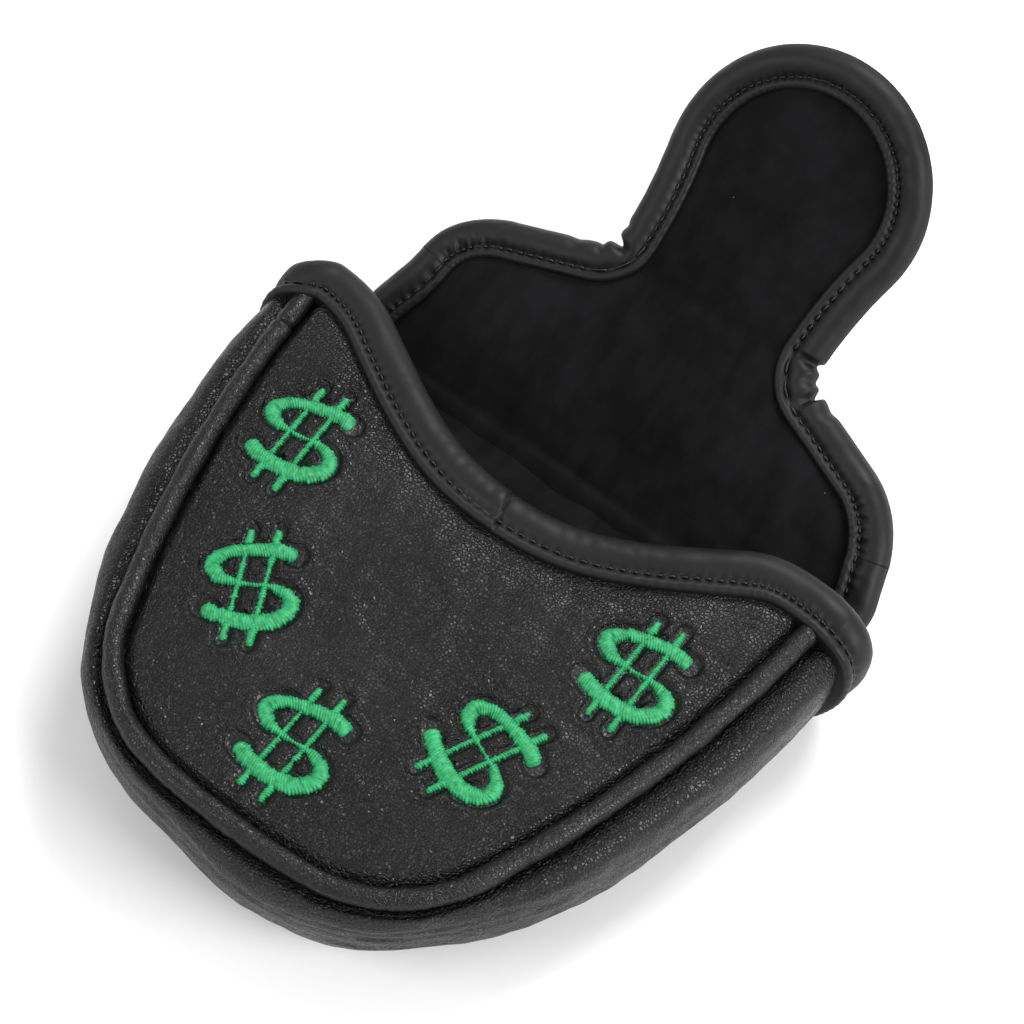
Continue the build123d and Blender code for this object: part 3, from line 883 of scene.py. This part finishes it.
def shoulder_gather(at, a, h, seed):
    """Fine cross folds where the strip turns round a shoulder, just outside the stitches."""
    total = np.zeros_like(h)
    for side in (-1, 1):
        centre = tip_at + side * (shoulder_from_tip + 15)
        spread = np.exp(-(((at - centre) / 12) ** 2))
        band = np.exp(-(((a - 6.0) / 1.6) ** 2))
        field = np.stack([at + 0 * a + 0.3 * a, a * 0.2], -1)
        total = total + spread * band * ripple(field, 2.6, seed + side)
    return total


def flap_change(at, a, h):
    a, h = band_change(71, gathers(-1) + gathers(1))(at, a, h)
    top = smooth_step(-1.5, 0.8, h)
    return a, h + 0.3 * top * shoulder_gather(at, a, h, 77)


def flap_band(first, last):
    """The flap binding between two places along the outline, as one closed run."""
    rows = (flap_at >= first) & (flap_at <= last)
    start = flap_at[rows][0]

    def change(at, a, h):
        return flap_change(at + start, a, h)

    return closed_rings(band_rings(flap_path[rows], flap_in[rows], place_flap, flap_section, change))


split_at = np.interp(FLAP_SPLIT, flap_path[: len(flap_path) // 2, 1], flap_at[: len(flap_path) // 2])
split_end = flap_at[-1] - split_at
base_band = joined("flap_base_binding_strip", [flap_band(0, split_at), flap_band(split_end, flap_at[-1])])
tongue_band = joined("flap_tongue_binding_strip", [flap_band(split_at - BAND_OVERLAP, split_end + BAND_OVERLAP)])
flap_stitch_high = STITCH_RISE + FLAP_SECTION_DEPTH / 2


def flap_stitches(low, high, seed):
    """Both faces' stitches along the flap's outline between two places."""
    return stitch_parts(
        flap_path, flap_in, place_flap, low, high, STITCH_INSET, flap_stitch_high, seed, -flap_stitch_high
    )


base_stitches = joined(
    "flap_base_stitching", flap_stitches(5.0, split_at, 81) + flap_stitches(split_end, flap_at[-1] - 5.0, 82)
)
tongue_stitches = joined("flap_tongue_stitching", flap_stitches(split_at + 0.4, split_end - 0.4, 83))


def flap_disc(name, radius, low, high):
    """A round plate inside the tongue, with a small bevel."""
    angle = np.linspace(0, 2 * math.pi, 64, endpoint=False)
    bevel = 0.25
    steps = [
        (radius * 0.5, low), (radius - bevel, low), (radius, low + bevel),
        (radius, high - bevel), (radius - bevel, high), (radius * 0.5, high),
    ]
    rings = []
    for r, h in steps:
        flat = np.stack([r * np.cos(angle), FLAP_LENGTH - MAGNET_FROM_TIP + r * np.sin(angle)], -1)
        rings.append(place_flap(flat, np.full(64, h)))
    return turned_out(tube(name, np.array(rings)))


tongue_magnet = flap_disc("tongue_magnet_disc", 9.0, -0.9, 0.9)
tongue_patch = flap_disc("tongue_magnet_cover", 12.0, 0.95, 1.25)

for item in (
    front_core, back_core, mouth_band, base_band, tongue_band, piping_front, piping_back, front_skin, front_pad,
    front_lining, gusset_skin, gusset_pad, gusset_lining, back_skin, back_pad, back_lining, base_velvet, base_pad,
    base_skin, tongue_velvet, tongue_pad, tongue_skin, mouth_stitches, base_stitches, tongue_stitches,
):
    turned_out(item)

# Leather pressed flat round the embroidery, with painted shade: this mask also turns the leather's colour dark there
to_mark, mark = nearest(front_flat, sign_marks[:, :2])
pressed_and_painted_shade = 1 - smooth_step(0.5, 1.4, to_mark - sign_marks[mark, 2])
marked = front_skin.data.attributes.new("pressed_and_painted_shade", "FLOAT", "POINT")
marked.data.foreach_set("value", np.r_[pressed_and_painted_shade.ravel(), pressed_and_painted_shade.ravel()])


# ----------------------------------------------------------------- materials
def srgb(r, g, b):
    return tuple(((c / 255 + 0.055) / 1.055) ** 2.4 if c > 10 else c / 255 / 12.92 for c in (r, g, b)) + (1.0,)


class Shader:
    """A short way to lay out nodes."""

    def __init__(self, name, **inputs):
        self.material = bpy.data.materials.new(name)
        self.material.use_nodes = True
        self.nodes = self.material.node_tree.nodes
        self.links = self.material.node_tree.links
        self.surface = self.nodes["Principled BSDF"]
        for key, value in inputs.items():
            self.surface.inputs[key.replace("_", " ")].default_value = value
        self.place = self.nodes.new("ShaderNodeTexCoord").outputs["Object"]

    def node(self, kind, sockets=None, **settings):
        made = self.nodes.new(kind)
        for key, value in settings.items():
            setattr(made, key, value)
        for key, value in (sockets or {}).items():
            if isinstance(value, bpy.types.NodeSocket):
                self.links.new(value, made.inputs[key])
            else:
                made.inputs[key].default_value = value
        return made

    def noise(self, scale, detail=3.0, rough=0.5, vector=None):
        sockets = {"Vector": vector or self.place, "Scale": scale, "Detail": detail, "Roughness": rough}
        return self.node("ShaderNodeTexNoise", sockets).outputs["Fac"]

    def cells(self, scale, feature="F1", vector=None):
        return self.node("ShaderNodeTexVoronoi", {"Vector": vector or self.place, "Scale": scale}, feature=feature)

    def math(self, operation, a, b=0.0, clamp=False):
        made = self.node("ShaderNodeMath", {0: a, 1: b}, operation=operation, use_clamp=clamp)
        return made.outputs[0]

    def remap(self, value, low, high, to_low=0.0, to_high=1.0):
        sockets = {"Value": value, "From Min": low, "From Max": high, "To Min": to_low, "To Max": to_high}
        return self.node("ShaderNodeMapRange", sockets).outputs["Result"]

    def blend(self, share, a, b):
        made = self.node("ShaderNodeMix", data_type="RGBA")
        for socket, value in ((made.inputs[0], share), (made.inputs[6], a), (made.inputs[7], b)):
            if isinstance(value, bpy.types.NodeSocket):
                self.links.new(value, socket)
            else:
                socket.default_value = value
        return made.outputs[2]

    def warped(self, scale, amount):
        """The place, pushed about by noise."""
        texture = self.node("ShaderNodeTexNoise", {"Vector": self.place, "Scale": scale, "Detail": 2.0})
        sockets = {0: texture.outputs["Color"], 1: (0.5, 0.5, 0.5)}
        centred = self.node("ShaderNodeVectorMath", sockets, operation="SUBTRACT")
        scaled = self.node("ShaderNodeVectorMath", {0: centred.outputs[0], "Scale": amount}, operation="SCALE")
        return self.node("ShaderNodeVectorMath", {0: self.place, 1: scaled.outputs[0]}, operation="ADD").outputs[0]

    def bump(self, height, strength, distance, before=None):
        sockets = {"Height": height, "Strength": strength, "Distance": distance}
        if before:
            sockets["Normal"] = before
        return self.node("ShaderNodeBump", sockets).outputs["Normal"]

    def finish(self, color=None, roughness=None, normal=None):
        for key, value in (("Base Color", color), ("Roughness", roughness), ("Normal", normal)):
            if value is not None:
                self.links.new(value, self.surface.inputs[key])
        return self.material


def pebbled_leather(name, dark, light, grain=1300.0, depth=1.0):
    s = Shader(name, Specular_IOR_Level=0.36)
    bent = s.warped(600.0, 0.0006)
    pressed_and_painted_shade = s.node("ShaderNodeAttribute", attribute_name="pressed_and_painted_shade").outputs["Fac"]
    edge = s.cells(grain, "DISTANCE_TO_EDGE", vector=bent).outputs["Distance"]
    sockets = {"Value": edge, "From Min": 0.0, "From Max": 0.22}
    pebble = s.node("ShaderNodeMapRange", sockets, interpolation_type="SMOOTHSTEP").outputs["Result"]
    fine = s.noise(4200.0, 2.0)
    wide_bent = s.warped(150.0, 0.004)
    wrinkle_edge = s.cells(300.0, "DISTANCE_TO_EDGE", vector=wide_bent).outputs["Distance"]
    wrinkle = s.remap(wrinkle_edge, 0.0, 0.09)
    worn = s.remap(s.noise(34.0, 2.0), 0.40, 0.60)
    wrinkle = s.math("MAXIMUM", wrinkle, s.math("SUBTRACT", 1.0, worn))
    patch = s.noise(55.0, 4.0)
    strength = s.remap(s.noise(30.0, 2.0), 0.3, 0.7, 0.5, 1.0)
    height = s.math("ADD", s.math("MULTIPLY", pebble, strength), s.math("MULTIPLY", fine, 0.02))
    height = s.math("MULTIPLY", height, s.math("SUBTRACT", 1.0, s.math("MULTIPLY", pressed_and_painted_shade, 0.8)))
    first = s.bump(height, 1.0, 0.00023 * depth)
    second = s.bump(wrinkle, 0.8, 0.00020 * depth, first)
    third = s.bump(s.noise(110.0, 2.0), 0.35, 0.0010 * depth, second)
    # Partly grain, partly painted shade: the creases between pebbles are coloured darker than their tops, with random
    # patches of tone
    shade = s.math("MULTIPLY", pebble, s.remap(patch, 0.3, 0.7, 0.6, 1.0), clamp=True)
    # Painted shade round the embroidery: the colour goes dark in the pressed band beside the strokes
    shade = s.math("MULTIPLY", shade, s.math("SUBTRACT", 1.0, pressed_and_painted_shade))
    color = s.blend(shade, dark, light)
    rough = s.remap(s.math("ADD", s.math("MULTIPLY", pebble, -0.7), patch), -0.4, 0.6, 0.26, 0.54)
    return s.finish(color, rough, third)


def smooth_leather(name, dark, light, rough_low=0.46, rough_high=0.6):
    s = Shader(name, Specular_IOR_Level=0.26)
    fine = s.noise(3600.0, 3.0)
    pores = s.remap(s.cells(2600.0, "F1").outputs["Distance"], 0.0, 0.5)
    patch = s.noise(70.0, 4.0)
    first = s.bump(fine, 0.18, 0.00006)
    second = s.bump(pores, 0.10, 0.00005, first)
    third = s.bump(s.noise(260.0, 3.0), 0.25, 0.00035, second)
    color = s.blend(s.remap(patch, 0.3, 0.7), dark, light)
    return s.finish(color, s.remap(patch, 0.3, 0.7, rough_low, rough_high), third)


def velvet(name, dark, light):
    s = Shader(name, Specular_IOR_Level=0.12, Sheen_Weight=0.36, Sheen_Roughness=0.38, Sheen_Tint=srgb(122, 122, 130))
    pile = s.noise(2400.0, 3.0, 0.6)
    brushed = s.noise(26.0, 3.0, 0.55, vector=s.warped(20.0, 0.02))
    sockets = {"Vector": s.place, "Scale": (60.0, 16.0, 60.0), "Rotation": (0, 0, 0.5)}
    streak_place = s.node("ShaderNodeMapping", sockets).outputs[0]
    streak = s.noise(4.0, 3.0, vector=streak_place)
    mixed = s.math("ADD", s.math("MULTIPLY", brushed, 0.6), s.math("MULTIPLY", streak, 0.4))
    shade = s.remap(mixed, 0.38, 0.64)
    lint_cell = s.cells(120.0, "F1").outputs["Distance"]
    lint = s.math("LESS_THAN", lint_cell, 0.013)
    color = s.blend(shade, dark, light)
    color = s.blend(s.math("MULTIPLY", pile, 0.35), color, dark)
    color = s.blend(s.math("MULTIPLY", lint, 0.7), color, srgb(150, 150, 155))
    first = s.bump(pile, 0.5, 0.00018)
    second = s.bump(brushed, 0.2, 0.001, first)
    return s.finish(color, s.remap(shade, 0.0, 1.0, 0.95, 0.8), second)


def thread(name, dark, middle, bright, sheen=0.3):
    s = Shader(name, Specular_IOR_Level=0.4, Sheen_Weight=sheen, Sheen_Roughness=0.4, Sheen_Tint=bright)
    fibre = s.noise(3800.0, 2.0)
    tone = s.noise(900.0, 2.0)
    color = s.blend(s.remap(tone, 0.3, 0.7), middle, bright)
    color = s.blend(s.remap(fibre, 0.55, 0.8, 0.0, 0.5), color, dark)
    return s.finish(color, s.remap(tone, 0.3, 0.7, 0.36, 0.5), s.bump(fibre, 0.35, 0.00008))


def foam(name):
    s = Shader(name, Specular_IOR_Level=0.2)
    cells = s.cells(1300.0, "F1").outputs["Distance"]
    color = s.blend(s.remap(cells, 0.1, 0.6), srgb(30, 30, 32), srgb(52, 52, 55))
    return s.finish(color, s.remap(cells, 0, 1, 0.85, 0.95), s.bump(cells, 0.6, 0.0003))


def woven(name, dark, light):
    s = Shader(name, Specular_IOR_Level=0.2)
    wave = s.node("ShaderNodeTexWave", {"Vector": s.place, "Scale": 900.0, "Distortion": 0.4}).outputs["Fac"]
    color = s.blend(wave, dark, light)
    return s.finish(color, s.remap(wave, 0, 1, 0.75, 0.9), s.bump(wave, 0.4, 0.0001))


def plastic(name, dark, light, metal=0.0, rough=0.4):
    s = Shader(name, Metallic=metal)
    scratch = s.noise(300.0, 5.0)
    color = s.blend(s.remap(scratch, 0.3, 0.7), dark, light)
    return s.finish(color, s.remap(scratch, 0.3, 0.7, rough - 0.08, rough + 0.1), s.bump(scratch, 0.1, 0.0001))


grain_leather = pebbled_leather("pebbled_leather", srgb(0, 0, 0), srgb(16, 16, 17))
piping_leather = pebbled_leather("piping_leather", srgb(4, 4, 4), srgb(15, 15, 16), depth=0.35)
strip_leather = smooth_leather("smooth_strip_leather", srgb(17, 17, 18), srgb(22, 22, 23))
black_velvet = velvet("black_velvet", srgb(6, 6, 7), srgb(18, 18, 20))
green_thread = thread("green_thread", srgb(8, 74, 38), srgb(25, 128, 74), srgb(44, 168, 106))
black_thread = thread("black_thread", srgb(3, 3, 3), srgb(6, 6, 7), srgb(12, 12, 13), 0.0)
grey_foam = foam("grey_foam")
patch_cloth = woven("patch_cloth", srgb(20, 20, 22), srgb(46, 46, 50))
cord_plastic = plastic("cord_plastic", srgb(28, 28, 30), srgb(44, 44, 46), rough=0.45)
magnet_metal = plastic("magnet_nickel", srgb(150, 150, 152), srgb(188, 188, 190), metal=1.0, rough=0.3)


def finish_piece(item, material, body=None, nodes=()):
    """Material, replaced nodes, and the body that the piece rides on."""
    item.data.materials.clear()
    item.data.materials.append(material)
    if nodes:
        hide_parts(*nodes)
    if body:
        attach(item, body)
    return item


POUCH_PIECES = (
    (front_skin, grain_leather, "grain_leather", ["front_panel_leather"], None),
    (front_pad, grey_foam, "foam", ["front_panel_foam"], 0.7),
    (front_lining, black_velvet, "velvet", ["front_panel_lining"], None),
    (gusset_skin, grain_leather, "grain_leather", ["gusset_leather"], None),
    (gusset_pad, grey_foam, "foam", ["gusset_foam"], 0.7),
    (gusset_lining, black_velvet, "velvet", ["gusset_lining"], None),
    (back_skin, grain_leather, "grain_leather", ["back_panel_leather"], None),
    (back_pad, grey_foam, "foam", ["back_panel_foam"], 0.7),
    (back_lining, black_velvet, "velvet", ["back_panel_lining"], None),
    (piping_front, piping_leather, "grain_leather", ["front_piping_cover"], None),
    (piping_back, piping_leather, "grain_leather", ["back_piping_cover"], None),
    (front_core, cord_plastic, "piping_cord", ["front_piping_cord"], None),
    (back_core, cord_plastic, "piping_cord", ["back_piping_cord"], None),
    (mouth_band, strip_leather, "binding_leather", ["mouth_binding"], None),
    (mouth_stitches, black_thread, "black_thread", ["mouth_binding_stitches"], None),
)
for item, material, slot_name, nodes, pad in POUCH_PIECES:
    finish_piece(item, material, "pouch", nodes)
for number, item in enumerate(embroidery, 1):
    finish_piece(item, green_thread, "pouch", [f"dollar_sign_{number}"])

BASE_PIECES = (
    (base_skin, grain_leather, "grain_leather", ["flap_base_leather"], None),
    (base_pad, grey_foam, "foam", ["flap_base_foam"], 0.6),
    (base_velvet, black_velvet, "velvet", ["flap_base_lining"], None),
    (base_band, strip_leather, "binding_leather", ["flap_base_binding"], None),
    (base_stitches, black_thread, "black_thread", ["flap_base_stitches"], None),
)
TONGUE_PIECES = (
    (tongue_skin, grain_leather, "grain_leather", ["flap_tongue_leather"], None),
    (tongue_pad, grey_foam, "foam", ["flap_tongue_foam"], 0.6),
    (tongue_velvet, black_velvet, "velvet", ["flap_tongue_lining"], None),
    (tongue_band, strip_leather, "binding_leather", ["flap_tongue_binding"], None),
    (tongue_stitches, black_thread, "black_thread", ["flap_tongue_stitches"], None),
    (tongue_magnet, magnet_metal, "magnet", ["flap_magnet"], None),
    (tongue_patch, patch_cloth, "patch_fabric", ["flap_magnet_patch"], None),
)
for item, material, slot_name, nodes, pad in BASE_PIECES:
    finish_piece(item, material, None, nodes)
    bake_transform(item)
for item, material, slot_name, nodes, pad in TONGUE_PIECES:
    finish_piece(item, material, None, nodes)
    if item in (tongue_magnet, tongue_patch):
        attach(item, "flap_tongue")
    else:
        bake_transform(item)

KEPT = {
    "front_magnet": magnet_metal,
    "front_magnet_patch": patch_cloth,
}
for name, material in KEPT.items():
    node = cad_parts[name]
    node.data.materials.clear()
    node.data.materials.append(material)

# ----------------------------------------------------------------- stage, camera and lights
centre = (cad_low + cad_high) / 2


def stage_plane(name, size, height):
    mesh = bpy.data.meshes.new(name)
    s = size / 2
    mesh.from_pydata([(-s, -s, height), (s, -s, height), (s, s, height), (-s, s, height)], [], [(0, 1, 2, 3)])
    item = bpy.data.objects.new(name, mesh)
    bpy.context.collection.objects.link(item)
    return item


floor = stage_plane("floor", 8.0, -0.0002)
floor_shader = Shader("pale_floor", Roughness=0.9, Specular_IOR_Level=0.1)
floor_tone = floor_shader.blend(floor_shader.noise(6.0, 2.0), srgb(246, 246, 246), srgb(250, 250, 250))
floor.data.materials.append(floor_shader.finish(floor_tone))

CAMERA_PLACE = (167.6, -213.0, 571.8)
CAMERA_AZIMUTH = 33.82
CAMERA_ELEVATION = 61.0
CAMERA_ROLL = 4.0
camera_data = bpy.data.cameras.new("camera")
camera_data.lens = 105.47
camera_data.clip_end = 20
camera = bpy.data.objects.new("camera", camera_data)
bpy.context.collection.objects.link(camera)
azimuth, elevation = math.radians(CAMERA_AZIMUTH), math.radians(CAMERA_ELEVATION)
back = Vector((math.sin(azimuth) * math.cos(elevation), -math.cos(azimuth) * math.cos(elevation), math.sin(elevation)))
level_right = Vector((math.cos(azimuth), math.sin(azimuth), 0))
roll = Matrix.Rotation(math.radians(CAMERA_ROLL), 3, back)
right = roll @ level_right
up_axis = back.cross(right)
facing = Matrix((right, up_axis, back)).transposed().to_4x4()
camera.matrix_world = Matrix.Translation(Vector(CAMERA_PLACE) * MM) @ facing
bpy.context.scene.camera = camera


def area_light(name, place, target, size, power):
    data = bpy.data.lights.new(name, "AREA")
    data.shape = "RECTANGLE"
    data.size, data.size_y = size
    data.energy = power
    item = bpy.data.objects.new(name, data)
    bpy.context.collection.objects.link(item)
    item.location = place
    item.rotation_mode = "QUATERNION"
    item.rotation_quaternion = (Vector(target) - Vector(place)).to_track_quat("-Z", "Y")
    return item


area_light("key", (0.0, 0.95, 1.15), centre, (0.6, 0.45), 14.5)
area_light("side", (1.05, 0.1, 0.75), centre, (0.6, 0.5), 12.0)
area_light("front", (-0.6, -0.7, 0.9), centre, (0.6, 0.4), 5.0)
world = bpy.data.worlds.new("studio")
bpy.context.scene.world = world
world.use_nodes = True
world.node_tree.nodes["Background"].inputs["Color"].default_value = (1, 1, 1, 1)
world.node_tree.nodes["Background"].inputs["Strength"].default_value = 0.6
bpy.context.scene.view_settings.view_transform = "Standard"
